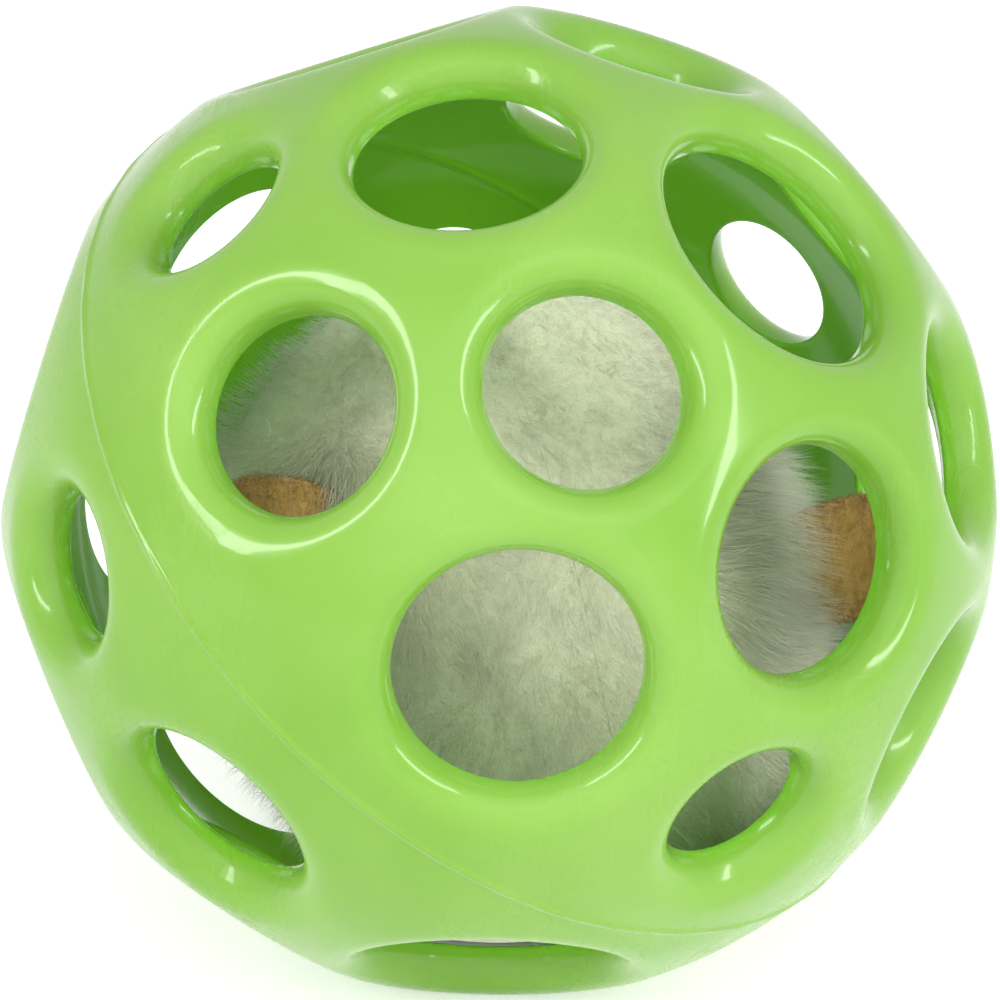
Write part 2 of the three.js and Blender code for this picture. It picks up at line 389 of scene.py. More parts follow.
# Ball: two moulded halves, each a grid round every hole, joined on the webs between the holes
ball = {
    "radius": 45.0,
    "wall": 4.7,
    "lipWidth": 4.7,  # a hole's rounding reaches this far out from its throat
    "lipPower": 2.3,  # above 2 the rounding eases into the outside
    "edgeRounding": 0.4,
    "poleHeading": -28.1,
    "lowerTwist": 31.5,  # of the lower half's rings against the upper half's
    "seamHalfGap": 0.004,
    "innerBead": 0.22,  # the weld stands in from the wall by this
    "seamBandTurn": 1.0,  # the band of finer rows along the seam, in degrees of latitude
    "seamEaseTurn": 3.0,
    "beadHeight": 0.26,  # the parting line stands proud by this
    "beadWidth": 0.34,
    "cornerStep": 0.85,  # between the points where neighbouring holes' grids meet
    "lipRows": 26,
    "innerRows": 7,
    "rowEase": 1.8,  # above 1 the rows crowd at the throat
    "innerEase": 1.3,
    "unevenness": 0.1,
}
# One half's rings of holes: how many, angle down from the pole, heading of the first, throat radius
holeRings = [
    (1, 0, 0, 11.6),
    (3, 36.2, 0, 8.6),
    (3, 40.1, 60, 10),
    (3, 66.7, -22, 8.8),
    (3, 66.7, 23.2, 10.8),
    (3, 72.4, 62.2, 6.6),
]
standRing = 2  # the ball stands on the first hole of this ring, in the lower half
innerRadius = ball["radius"] - ball["wall"]


# Unit vector at an angle down from +Z and at a heading from +X
def towards(down, heading):
    down, heading = math.radians(down), math.radians(heading)
    across = math.sin(down)
    return np.array([across * math.cos(heading), across * math.sin(heading), math.cos(down)])


def holesOfHalf(isLower):
    axes, throats = [], []
    for count, down, heading, throat in holeRings:
        for k in range(count):
            turn = heading + 360 / count * k
            axes.append(towards(180 - down, turn + ball["lowerTwist"]) if isLower else towards(down, turn))
            throats.append(throat)
    return np.array(axes), np.array(throats, float)


# Turns the ball's own axes so that the standing hole faces down
def standingTurn():
    _, down, heading, _ = holeRings[standRing]
    up = -towards(180 - down, heading + ball["lowerTwist"])
    side = unit(np.array([0, 0, 1.0]) - up[2] * up)
    return turned("Z", ball["poleHeading"]) @ np.array([side, np.cross(up, side), up])


ballTurn = standingTurn()


# Corners of a hole's share of the sphere, seen along its axis: a wide square cut by the plane halfway
# to each other hole's mouth, and by the seam
def cellCorners(own, axes, throats, seamSide):
    radius, reach = ball["radius"], throats + ball["lipWidth"]
    weights = 1 / np.sqrt(radius ** 2 - reach ** 2)
    axis = axes[own]
    east = unit(np.cross(axis, [0.31, 0.52, 0.79]))
    north = np.cross(axis, east)
    cuts = [axis * weights[own] - axes[j] * weights[j] for j in range(len(axes)) if j != own]
    cuts.append(np.array([0, 0, seamSide]))
    corners = [axis + 6 * (a * east + b * north) for a, b in ((-1, -1), (1, -1), (1, 1), (-1, 1))]
    for cut in cuts:
        kept = []
        for i, here in enumerate(corners):
            before = corners[i - 1]
            inside, wasInside = here @ cut, before @ cut
            if (inside > 0) != (wasInside > 0):
                kept.append(before + (here - before) * wasInside / (wasInside - inside))
            if inside > 0:
                kept.append(here)
        corners = kept
    return unit(np.array(corners))


# The cell's edge as points a step apart, the same from both sides of it
def cellBoundary(corners):
    parts = []
    for here, after in zip(corners, np.roll(corners, -1, axis=0)):
        length = np.linalg.norm(after - here) * ball["radius"]
        count = max(1, round(length / ball["cornerStep"] + 0.013))
        share = np.arange(count)[:, None] / count
        parts.append(unit(here + (after - here) * share))
    return np.concatenate(parts)


# Moves points near the seam up a little in latitude, which leaves room for the seam's own rows
def easedFromSeam(directions, seamSide):
    band, ease = math.radians(ball["seamBandTurn"]), math.radians(ball["seamEaseTurn"])
    latitude = np.arcsin(np.clip(directions[..., 2] * seamSide, -1, 1))
    lifted = np.where(latitude < ease, band + latitude * (1 - band / ease), latitude)
    flat = unit(directions[..., :2] + 1e-15)
    return np.concatenate([
        flat * np.cos(lifted)[..., None],
        (seamSide * np.sin(lifted))[..., None],
    ], axis=-1)


# How deep the rounding lies at a share of its width: all of it at 0, nothing from 1 on
def lipDepth(share):
    left = 1 - np.clip(share, 0, 1)
    return 1 - np.sqrt(1 - left ** ball["lipPower"])


# Slow waves that no moulding is free of
def unevenRadius(directions):
    x, y, z = (directions[..., i] for i in range(3))
    waves = (np.sin(5.1 * x + 2.3 * z + 1) + np.sin(4.3 * y - 3.7 * z + 2)
             + 0.6 * np.sin(9 * x - 7 * y + 5 * z))
    return ball["unevenness"] * waves / 2.6


# The ball's outside: its sphere, lowered along each hole's axis by that hole's rounding
def outside(directions, axes, throats):
    radius, edge = ball["radius"], ball["edgeRounding"]
    points = directions * (radius + unevenRadius(directions))[..., None]
    for axis, throat in zip(axes, throats):
        along = directions @ axis
        off = radius * np.sqrt(np.clip(1 - along ** 2, 0, None))
        share = np.where(along > 0, (off - throat) / ball["lipWidth"], 1)
        mouthHeight = math.sqrt(radius ** 2 - throat ** 2)
        full = mouthHeight - math.sqrt(innerRadius ** 2 - (throat + edge) ** 2) - edge
        points = points - (full * lipDepth(share))[..., None] * axis
    return points


# One hole's grid: rows run from the inside's cell edge to the throat, round its edge and out to the
# outside's cell edge. Each column is one spoke from the hole's axis.
def holeGrid(own, axes, throats, seamSide):
    axis, throat = axes[own], throats[own]
    radius, edge = ball["radius"], ball["edgeRounding"]
    rim = cellBoundary(cellCorners(own, axes, throats, seamSide))
    spoke = unit(rim - (rim @ axis)[:, None] * axis)
    reach = np.linalg.norm(rim - (rim @ axis)[:, None] * axis, axis=1)

    # Directions at a share of the radius off the hole's axis
    def onSphere(off):
        return axis * np.sqrt(1 - off ** 2)[..., None] + spoke * off[..., None]

    inShare = np.linspace(1, 0, ball["innerRows"] + 1)[:, None] ** ball["innerEase"]
    inStart = (throat + edge) / innerRadius
    inner = easedFromSeam(onSphere(inStart + (reach - inStart) * inShare), seamSide) * innerRadius
    turn = np.linspace(0, math.pi / 2, 5)[1:-1, None, None]
    middleHeight = math.sqrt(innerRadius ** 2 - (throat + edge) ** 2) + edge
    rounded = (axis * (middleHeight - edge * np.cos(turn))
               + spoke[None] * (throat + edge - edge * np.sin(turn)))
    outShare = np.linspace(0, 1, ball["lipRows"] + 1)[:, None] ** ball["rowEase"]
    outStart = throat / radius
    outer = easedFromSeam(onSphere(outStart + (reach - outStart) * outShare), seamSide)
    points = np.concatenate([inner, rounded, outside(outer, axes, throats)])
    onSeam = easedFromSeam(rim[np.abs(rim[:, 2]) < 1e-9], seamSide)
    return points, onSeam


# Rows along the seam: down the outside over the raised parting line, across and up the inside. The
# parting line's bead and the weld inside fall off as exp(-(height / width) squared).
def seamBand(rim, seamSide, axes, throats):
    rim = rim[np.argsort(np.arctan2(rim[:, 1], rim[:, 0]))]
    heading = np.arctan2(rim[:, 1], rim[:, 0])
    rim = rim[np.append(True, np.diff(heading) > 1e-7)]
    heading = np.arctan2(rim[:, 1], rim[:, 0])
    flat = np.linalg.norm(rim[:, :2], axis=1)[:, None]
    ragged = 0.75 + 0.25 * np.sin(7 * heading) * np.sin(3 * heading + 1) + 0.12 * np.sin(41 * heading)

    def atHeight(height, radius):
        return np.column_stack([
            rim[:, :2] * math.cos(math.asin(height / radius)) / flat,
            np.full(len(rim), seamSide * height / radius),
        ])

    def falloff(height):
        return math.exp(-((height / ball["beadWidth"]) ** 2))

    rise = math.sin(math.radians(ball["seamBandTurn"]))
    top, innerTop = rise * ball["radius"], rise * innerRadius
    shares = (1, 0.8, 0.62, 0.47, 0.34, 0.23, 0.13, 0.06)
    rows = []
    for height in [top * share for share in shares] + [ball["seamHalfGap"]]:
        directions = atHeight(height, ball["radius"])
        bead = ball["beadHeight"] * falloff(height) * ragged * min(1, 3 * (1 - height / top))
        rows.append(outside(directions, axes, throats) + directions * bead[:, None])
    for height in (ball["seamHalfGap"], innerTop / 4, innerTop / 2, innerTop * 0.75, innerTop):
        weld = ball["innerBead"] * falloff(height) * (height < innerTop)
        rows.append(atHeight(height, innerRadius) * (innerRadius - weld))
    return np.array(rows)


def ballHalf(name, node, isLower):
    axes, throats = holesOfHalf(isLower)
    seamSide = -1.0 if isLower else 1.0
    points, faces, rims, count = [], [], [], 0
    for own in range(len(axes)):
        grid, onSeam = holeGrid(own, axes, throats, seamSide)
        rims.append(onSeam)
        faces.append(gridFaces(*grid.shape[:2], start=count))
        points.append(grid.reshape(-1, 3))
        count += grid.shape[0] * grid.shape[1]
    band = seamBand(np.concatenate(rims), seamSide, axes, throats)
    bandFaces = gridFaces(*band.shape[:2], start=count)
    faces.append(bandFaces[:, ::-1] if isLower else bandFaces)
    points.append(band.reshape(-1, 3))
    points, faces = welded(np.concatenate(points), np.concatenate(faces))
    placed = points @ ballTurn.T + ballCentre
    placed[:, 2] = np.maximum(placed[:, 2], 0)  # the lip that carries the ball is worn flat
    piece = meshPiece(name, placed, faces, rubberFinish, "ball")
    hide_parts(node)
    print(name, len(faces), "faces")


ballHalf("upper_half", "upper_shell_half", False)
ballHalf("lower_half", "lower_shell_half", True)

# Mouse: a stuffed body that stands on its rump and leans on the ball's inside
mouse = {
    "heading": 25.0,
    "lean": 11.0,
    "width": 52.0,
    "depth": 40.0,
    "length": 66.0,
    "aside": -0.5,
    "forward": 4.0,
    "reach": 40.0,  # of the rump from the ball's middle
    "skin": 1.6,
    "skinInset": -0.5,  # the dense foot of the pile stands this far out of the cloth
    "leftTaper": 0.24,  # of the half width, that the loose stuffing falls in low on the left
    "taperTurn": 0.8,  # where that is, as a turn from the rump
    "taperReach": 0.5,
    "seamPinch": 0.12,  # the panels draw in this much along their seams
    "pinchReach": 1.2,
    "seamGap": 0.03,
    "endTurn": 0.02,  # where the panels stop short of the rump's and the nose's very ends
    "wadding": 3.6,  # how deep it lies under the surface, and how lumpy it is
    "waddingLumps": 0.3,
    # Where the body stands out, or is drawn in at an ear: turn, heading, reach, share of the half width
    "swells": ((2.0, -2.0, 0.6, 0.09), (2.08, -1.0, 0.25, -0.07), (1.5, 1.0, 0.25, -0.05)),
    "bellyWrap": 9.0,
    "rows": 60,
    "columns": 40,
}
# Half outline, as shares of half the width and of the length
bodyOutline = np.array([
    (0, 0), (0.48, 0.024), (0.86, 0.1), (0.98, 0.24), (1, 0.41), (0.96, 0.59),
    (0.88, 0.71), (0.72, 0.83), (0.42, 0.93), (0.16, 0.985), (0, 1),
])
mouseTurn = turned("Y", -mouse["lean"]) @ turned("Z", mouse["heading"])
bodyMiddle = turned("Z", -mouse["heading"])[:2, :2] @ np.array([mouse["aside"], -mouse["forward"]])


# From the mouse's own axes, which start at the ball's middle, to the frame's
def fromMouse(points):
    return points @ mouseTurn.T + ballCentre


# The half width against the turn from rump to nose, which is arccos(1 - 2 share) of the length and so
# rounds both blunt ends. It is smoothed once with a running mean.
def smoothWidths():
    turns = np.linspace(0, math.pi, 361)
    raw = np.interp(turns, np.arccos(1 - 2 * bodyOutline[:, 1]), bodyOutline[:, 0])
    kernel = np.hanning(41) / np.hanning(41).sum()
    padded = np.concatenate([-raw[40:0:-1], raw, -raw[-2:-42:-1]])
    return turns, np.clip(np.convolve(padded, kernel, "same")[40:-40], 0, None)


outlineTurns, outlineWidths = smoothWidths()


# Body surface in the mouse's axes: turn runs from rump, 0, to nose, pi; heading from the back, 0
def bodyPoint(turn, heading, inset):
    across = np.interp(turn, outlineTurns, outlineWidths)
    halfWidth, halfDepth = mouse["width"] / 2 - inset, mouse["depth"] / 2 - inset
    along = inset + (1 - np.cos(turn)) / 2 * (mouse["length"] - 2 * inset)
    taper = mouse["leftTaper"] * np.exp(-(((turn - mouse["taperTurn"]) / mouse["taperReach"]) ** 2))
    aside = np.sin(heading) * np.where(np.sin(heading) < 0, 1 - taper, 1)
    swell = sum(
        share * np.exp(-((turn - atTurn) ** 2 + (2 * np.sin((heading - atHeading) / 2)) ** 2) / reach ** 2)
        for atTurn, atHeading, reach, share in mouse["swells"]
    )
    points = np.stack([
        bodyMiddle[0] + across * halfWidth * aside * (1 + swell),
        bodyMiddle[1] - across * halfDepth * np.cos(heading) * (1 + swell),
        along - mouse["reach"],
    ], axis=-1)
    far = np.linalg.norm(points, axis=-1, keepdims=True)
    limit = mouse["reach"] - np.maximum(inset, 0.25)[..., None]
    return points * np.where(far > limit, limit / np.maximum(far, 1e-9), 1)


def bodyNormal(turn, heading, inset):
    step = 1e-3
    alongTurn = bodyPoint(turn + step, heading, inset) - bodyPoint(turn - step, heading, inset)
    alongHeading = bodyPoint(turn, heading + step, inset) - bodyPoint(turn, heading - step, inset)
    return unit(np.cross(alongHeading, alongTurn) + 1e-12)


# Heading at which the belly panel starts, or half a turn where the body is too thin for it
def bellyEdge(turn):
    across = np.maximum(np.interp(turn, outlineTurns, outlineWidths), 1e-6)
    cosine = (1 - mouse["bellyWrap"] / (mouse["depth"] / 2)) / across
    return np.arccos(-np.clip(cosine, -1, 1))


# Materials of the mouse
fur = {
    "tip": linear(253, 254, 226),
    # root: painted shade, darker and yellower at the foot of each hair deep in the pile; the backing's
    # random mottle also runs down to it
    "root": linear(226, 226, 184),
    "skin": linear(252, 253, 220),
    "stray": linear(246, 244, 204),
    "waddingLow": linear(226, 224, 216),
    "waddingHigh": linear(246, 245, 240),
    "driftScale": 190.0,
    "mottleScale": 900.0,
    "patchScale": 130.0,
}
felt = {
    "colour": linear(190, 146, 76),
    "dark": linear(158, 116, 52),
    "light": linear(212, 174, 106),
    "fibreScale": 1500.0,
    "blotchScale": 260.0,
}


# Pile: each hair runs from a root painted darker as shade to a pale tip, and tufts differ a little
def furMaterial(name, lowest, highest):
    material, tree, shader = newMaterial(name)
    shade = newNode(tree, "ShaderNodeAttribute", attribute_name="pileShade").outputs["Fac"]
    drift = mathNode(tree, "SUBTRACT", noise(tree, mapped(tree), fur["driftScale"], 3.0, 0.6), 0.5)
    share = mathNode(tree, "ADD", shade, mathNode(tree, "MULTIPLY", drift, 0.5), clamp=True)
    tree.links.new(blendColours(tree, share, lowest, highest), shader.inputs["Base Color"])
    setInputs(shader, {"Roughness": 0.75, "Sheen Weight": 0.8, "Sheen Roughness": 0.6})
    return material


# Two noises in one value: the first at its share, the second at the rest
def twoNoises(tree, first, second, share):
    return mathNode(tree, "ADD", mathNode(tree, "MULTIPLY", first, share),
                    mathNode(tree, "MULTIPLY", second, 1 - share))


# Backing cloth under the pile, with the mottle of cropped hair roots
def skinMaterial():
    material, tree, shader = newMaterial("pileBacking")
    mottle = noise(tree, mapped(tree), fur["mottleScale"], 4.0, 0.7)
    mixed = twoNoises(tree, mottle, noise(tree, mapped(tree), fur["patchScale"], 2.0), 0.7)
    tree.links.new(ramp(tree, mixed, [(0.3, fur["root"]), (0.5, fur["skin"])]), shader.inputs["Base Color"])
    softBump(tree, shader, mottle, 0.8, 0.0005)
    setInputs(shader, {"Roughness": 0.9, "Sheen Weight": 0.8, "Sheen Roughness": 0.6})
    return material


# Suede felt: tangled fine fibres over a blotchy tan, with a soft sheen
def feltMaterial():
    material, tree, shader = newMaterial("suedeFelt")
    fibres = noise(tree, mapped(tree, (1, 1, 0.4)), felt["fibreScale"], 5.0, 0.75, 0.6)
    blotches = noise(tree, mapped(tree), felt["blotchScale"], 3.0, 0.6)
    mixed = twoNoises(tree, fibres, blotches, 0.6)
    colour = ramp(tree, mixed, [(0.34, felt["dark"]), (0.5, felt["colour"]), (0.68, felt["light"])])
    tree.links.new(colour, shader.inputs["Base Color"])
    softBump(tree, shader, fibres, 0.9, 0.0003)
    setInputs(shader, {"Roughness": 0.95, "Sheen Weight": 0.4, "Sheen Roughness": 0.45})
    return material


# Black glassy bead with faint dust
def beadMaterial():
    material, tree, shader = newMaterial("blackBead")
    dust = noise(tree, mapped(tree), 1400.0, 4.0, 0.7)
    colour = ramp(tree, dust, [(0.45, linear(12, 10, 9)), (0.8, linear(46, 42, 36))])
    tree.links.new(colour, shader.inputs["Base Color"])
    rough = mathNode(tree, "ADD", 0.06, mathNode(tree, "MULTIPLY", dust, 0.14))
    tree.links.new(rough, shader.inputs["Roughness"])
    setInputs(shader, {"Coat Weight": 0.6, "Coat Roughness": 0.04})
    return material


pileFinish = furMaterial("fur", fur["root"], fur["tip"])
strayFinish = furMaterial("strayHair", fur["skin"], fur["stray"])
backingFinish = skinMaterial()
feltFinish = feltMaterial()
beadFinish = beadMaterial()
waddingFinish = furMaterial("polyesterWadding", fur["waddingLow"], fur["waddingHigh"])


# A sewn panel with thickness, from rump to nose between two headings at each turn. Its outside falls
# away along every edge into the seam, by exp(-distance / reach).
def closedPanel(name, node, turns, startHeadings, endHeadings):
    rows, columns = mouse["rows"], mouse["columns"]
    share = (0.5 - 0.5 * np.cos(np.linspace(0, math.pi, columns)))[None, :]
    turn = turns[:, None] + 0 * share
    start, end = startHeadings[:, None], endHeadings[:, None]
    heading = start + (end - start) * share
    fromSide = np.minimum(share, 1 - share) * np.abs(end - start) * mouse["depth"] / 2
    pinch = mouse["seamPinch"] * np.exp(-fromSide / mouse["pinchReach"])
    normal = bodyNormal(turn, heading, mouse["skinInset"])
    outer = bodyPoint(turn, heading, mouse["skinInset"]) - normal * pinch[..., None]
    inner = outer - normal * mouse["skin"]
    count = rows * columns
    across = np.arange(rows)
    loop = np.concatenate([
        across * columns, (rows - 1) * columns + np.arange(1, columns),
        (across[::-1] * columns + columns - 1)[1:], np.arange(columns - 2, 0, -1),
    ])
    after = np.roll(loop, -1)
    faces = np.concatenate([
        gridFaces(rows, columns, 0, False)[:, ::-1],
        gridFaces(rows, columns, count, False),
        np.stack([loop, after, after + count, loop + count], axis=-1),
    ])
    points, faces = welded(np.concatenate([outer.reshape(-1, 3), inner.reshape(-1, 3)]), faces)
    piece = meshPiece(name, fromMouse(points), faces, backingFinish, "mouse")
    repairNormals(piece)
    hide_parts(node)


def makePanels():
    gap = mouse["seamGap"] / mouse["depth"] * 2
    whole = np.linspace(mouse["endTurn"], math.pi - mouse["endTurn"], mouse["rows"])
    edges = bellyEdge(whole)
    closedPanel("left_side_skin", "mouse_left_skin", whole, -edges + gap, 0 * edges - gap / 2)
    closedPanel("right_side_skin", "mouse_right_skin", whole, 0 * edges + gap / 2, edges - gap)
    wide = whole[edges < math.pi - 0.12]
    bellyTurns = np.linspace(wide[0], wide[-1], mouse["rows"])
    edges = bellyEdge(bellyTurns)
    closedPanel("belly_skin", "mouse_belly_skin", bellyTurns,
                edges + gap / 2, 2 * math.pi - edges - gap / 2)


def makeWadding():
    rows, columns = 40, 64
    turn = np.linspace(0, math.pi, rows)[:, None] + np.zeros(columns)
    heading = np.zeros(rows)[:, None] + turnsAround(columns)
    lumps = 0.5 * np.sin(5 * turn + 2 * np.cos(heading)) * np.sin(4 * heading + 1)
    inset = mouse["wadding"] + mouse["waddingLumps"] * lumps * np.sin(turn)
    grid = bodyPoint(turn, heading, inset).reshape(-1, 3)
    points, faces = welded(grid, gridFaces(rows, columns)[:, ::-1])
    piece = meshPiece("wadding", fromMouse(points), faces, waddingFinish, "mouse")
    repairNormals(piece)
    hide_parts("mouse_stuffing")


makePanels()
makeWadding()
print("mouse body made")

# Pile: hairs as thin closed spikes, most of them standing up and the others lying along the comb
pile = {
    "count": 56000,
    "standing": 0.75,  # share of the hairs
    "length": 4.2,
    "noseLength": 0.45,  # of the length, where the pile is short over the nose
    "lengthSpread": 0.2,
    "rootInset": 0.15,  # how far under the backing's surface a hair starts
    "width": 0.05,
    "standingWidth": 0.045,
    "flat": 0.4,  # a hair's thickness as a share of its width, with a ridge that faces out of the body
    "lift": 0.2,  # how far a hair stands up, against lying along the comb
    "standingLift": 0.85,
    "fluffLift": 0.7,
    "comb": 0.75,
    "tuft": 1.7,  # hairs this near each other lean together
    "tuftPull": 0.3,
    "wander": 0.3,
    "sway": 0.55,  # how much the comb's way drifts, over the size below
    "swaySize": 9.0,
    "clumping": 0.4,
    "clumpSize": 3.2,
    "curl": 0.8,
    "toneSpread": 0.35,  # from hair to hair, and the drift from place to place
    "toneDrift": 0.25,
    "surfaceShade": 4.0,  # weight of the body's normal in a hair's shading, against 1 for a random one
    # Where the pile is fluffed up, as turn, heading, reach and how much longer it is there
    "fluffs": (
        (1.1, 1.3, 0.4, 0.75), (1.85, 1.05, 0.35, 0.55), (2.1, -2.0, 0.6, 0.45),
        (2.15, -1.0, 0.2, 0.6), (1.6, 1.0, 0.2, 0.3),
    ),
    # Where it is thicker, round the ears, as turn, heading, spread and hairs
    "thicker": ((2.05, -1.0, 0.22, 6000), (1.5, 1.0, 0.22, 7000)),
    "furthest": 39.75,  # of a tip from the ball's middle: the mouse turns inside the ball
}


# A smooth vector at each point: sines with seeded directions and phases, size in millimetres
def slowField(points, seed, size):
    draws = np.random.default_rng(seed)
    waves = draws.normal(size=(3, 7, 3)) / size
    phases = draws.uniform(0, 2 * math.pi, (3, 7))
    return np.stack([np.sin(points @ waves[i].T + phases[i]).sum(-1) for i in range(3)], axis=-1) / 2.6


# Places spread evenly over the body: turns drawn by the area that lies under them
def pileRoots(count):
    turns = np.linspace(0, math.pi, 400)
    around = turnsAround(60)
    grid = bodyPoint(turns[:, None] + 0 * around, around[None] + 0 * turns[:, None], 0.0)
    girth = np.linalg.norm(np.roll(grid, -1, axis=1) - grid, axis=-1).sum(1)
    slant = np.linalg.norm(np.gradient(grid, axis=0), axis=-1).mean(1)
    total = np.cumsum(girth * slant)
    turn = np.interp(randomDraws.uniform(0, 1, count), total / total[-1], turns)
    return turn, randomDraws.uniform(-math.pi, math.pi, count)


ringCorners = 3  # of a hair's section


# Closed thin spikes: each path's points carry rings of a few corners, down to a pointed tip. The first
# corner is a ridge that looks the way the spike faces, and the section is flat times as thick as wide.
def spikes(paths, widths, facing=None, flat=1.0):
    strands, steps = paths.shape[:2]
    along = unit(np.gradient(paths, axis=1) + 1e-12)
    outward = [0.37, 0.71, 0.6] if facing is None else facing[:, None]
    first = unit(np.cross(along[:, :1], outward) + 1e-12) + 0 * along
    second = np.cross(along, first) * flat
    angle = 2 * math.pi * (np.arange(ringCorners) / ringCorners - 0.25)
    ring = np.cos(angle)[:, None] * first[:, :-1, None] + np.sin(angle)[:, None] * second[:, :-1, None]
    rings = paths[:, :-1, None] + ring * widths[:, :-1, None, None] / 2
    points = np.concatenate([rings.reshape(strands, -1, 3), paths[:, -1:]], axis=1)
    per = points.shape[1]
    walls = gridFaces(steps - 1, ringCorners)[:, [0, 3, 2, 1]]
    last = (steps - 2) * ringCorners
    tip = np.array([[last + k, last + (k + 1) % ringCorners, per - 1] for k in range(ringCorners)])
    base = np.array([[1, 0, 2]])
    one = np.concatenate([walls[:, [0, 1, 2]], walls[:, [0, 2, 3]], tip, base])
    faces = (one[None] + per * np.arange(strands)[:, None, None]).reshape(-1, 3)
    return points.reshape(-1, 3), faces, per


# A piece of many triangles, written as whole arrays
def trianglePiece(name, points, faces, shades, material, body, normals=None):
    mesh = bpy.data.meshes.new(name)
    mesh.vertices.add(len(points))
    mesh.vertices.foreach_set("co", (points * mm).astype(np.float32).ravel())
    mesh.loops.add(faces.size)
    mesh.loops.foreach_set("vertex_index", faces.astype(np.int32).ravel())
    mesh.polygons.add(len(faces))
    mesh.polygons.foreach_set("loop_start", np.arange(0, faces.size, 3, dtype=np.int32))
    mesh.polygons.foreach_set("use_smooth", np.ones(len(faces), bool))
    mesh.materials.append(material)
    mesh.update(calc_edges=True)
    if normals is not None:
        mesh.normals_split_custom_set_from_vertices(normals.tolist())
    piece = newObject(name, mesh)
    attribute = mesh.attributes.new("pileShade", "FLOAT", "POINT")
    attribute.data.foreach_set("value", np.asarray(shades, np.float32))
    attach(piece, body)
    return piece


# Points past the furthest radius come back to it, as hair pressed against the wall does
def heldInside(points, furthest):
    far = np.linalg.norm(points, axis=-1, keepdims=True)
    return points * np.where(far > furthest, furthest / far, 1)


# The way each hair leans: its lift out of the body, the comb down along it and a wander
def hairLean(roots, normal, standing, fluff):
    down = unit(np.array([0, 0, -1.0]) - (normal @ [0, 0, -1.0])[:, None] * normal)
    comb = unit(down + pile["sway"] * slowField(roots, 3, pile["swaySize"]))
    comb -= (comb * normal).sum(1, keepdims=True) * normal
    wander = pile["wander"] * randomDraws.normal(size=roots.shape)
    wander = wander + pile["clumping"] * slowField(roots, 5, pile["clumpSize"])
    wander -= np.minimum((wander * normal).sum(1, keepdims=True), 0) * normal
    lift = np.where(standing, pile["standingLift"], pile["lift"]) + pile["fluffLift"] * fluff
    return unit(lift[:, None] * normal + pile["comb"] * comb + wander)


# Tips drawn part of the way to the middle of their tuft, which is a cell of a warped grid
def tuftedTips(roots, tips):
    cell = np.floor(roots / pile["tuft"] + 0.35 * slowField(roots, 9, 2.0)).astype(np.int64)
    _, tuft = np.unique(cell, axis=0, return_inverse=True)
    tuft = tuft.reshape(-1)
    size = np.bincount(tuft)
    middle = np.stack([np.bincount(tuft, tips[:, i]) / size for i in range(3)], axis=-1)[tuft]
    return tips + (middle - tips) * pile["tuftPull"] * randomDraws.uniform(0.3, 1, (len(tips), 1))


def makePile():
    turn, heading = pileRoots(pile["count"])
    for atTurn, atHeading, spread, extra in pile["thicker"]:
        turn = np.append(turn, randomDraws.normal(atTurn, spread, extra).clip(0.3, 2.6))
        heading = np.append(heading, randomDraws.normal(atHeading, spread, extra))
    count = len(turn)
    rootInset = mouse["skinInset"] + pile["rootInset"]
    roots, normal = bodyPoint(turn, heading, rootInset), bodyNormal(turn, heading, rootInset)
    standing = randomDraws.uniform(size=count) < pile["standing"]
    fluff = sum(
        more * np.exp(-((turn - atTurn) ** 2 + (heading - atHeading) ** 2) / reach ** 2)
        for atTurn, atHeading, reach, more in pile["fluffs"]
    )
    lean = hairLean(roots, normal, standing, fluff)
    length = pile["length"] * (1 + pile["lengthSpread"] * randomDraws.normal(size=count)).clip(0.4, 1.5)
    length = length * np.interp(turn, [2.0, 2.5], [1, pile["noseLength"]]) * (1 + fluff)
    tips = tuftedTips(roots, roots + lean * length[:, None])
    bow = pile["curl"] * (normal * 0.5 + 0.5 * slowField(roots, 12, 1.1))
    share = np.array([0, 0.55, 1.0])[None, :, None]
    paths = roots[:, None] + (tips - roots)[:, None] * share + bow[:, None] * (share * (1 - share))
    paths = heldInside(paths, pile["furthest"])
    width = np.where(standing, pile["standingWidth"], pile["width"])[:, None]
    width = width * randomDraws.uniform(0.7, 1.25, (count, 1)) * np.array([1, 0.75, 0])
    tone = randomDraws.normal(0, pile["toneSpread"], (count, 1))
    tone = tone + pile["toneDrift"] * slowField(roots, 17, 1.4)[:, :1]
    # Painted shade: low at the root and high at the tip, so each hair darkens towards its foot; the tone
    # adds real random differences between hairs
    shade = np.clip(np.array([0.3, 0.75, 1.0]) + tone, 0, 1)
    facing = unit(pile["surfaceShade"] * normal + randomDraws.normal(size=(count, 3)))
    panel = np.where(np.abs(heading) > bellyEdge(turn), 2, np.where(heading < 0, 0, 1))
    third = np.minimum((roots[:, 2] + mouse["reach"]) / mouse["length"] * 3, 2.99).astype(int)
    for p, panelName in enumerate(("left_side", "right_side", "belly")):
        for t, thirdName in enumerate(("rump", "middle", "head")):
            here = (panel == p) & (third == t)
            points, faces, per = spikes(paths[here], width[here], normal[here], pile["flat"])
            ringShade = np.repeat(shade[here][:, :-1], ringCorners, axis=1)
            shades = np.concatenate([ringShade, shade[here][:, -1:]], axis=1).ravel()
            name = panelName + "_pile_" + thirdName
            normals = np.repeat(facing[here] @ mouseTurn.T, per, axis=0)
            trianglePiece(name, fromMouse(points), faces, shades, pileFinish, "mouse", normals)
            print(name, len(faces), "triangles")


makePile()

strayHairs = {
    "count": 1700,
    "length": 6.0,
    "lengthRange": (0.5, 1.1),  # shares of the length
    "width": 0.07,
    "steps": 9,
    "coilRange": (0.6, 1.5),  # radius at the tip
    "coilTurn": (2.5, 7),  # from root to tip, in radians
}


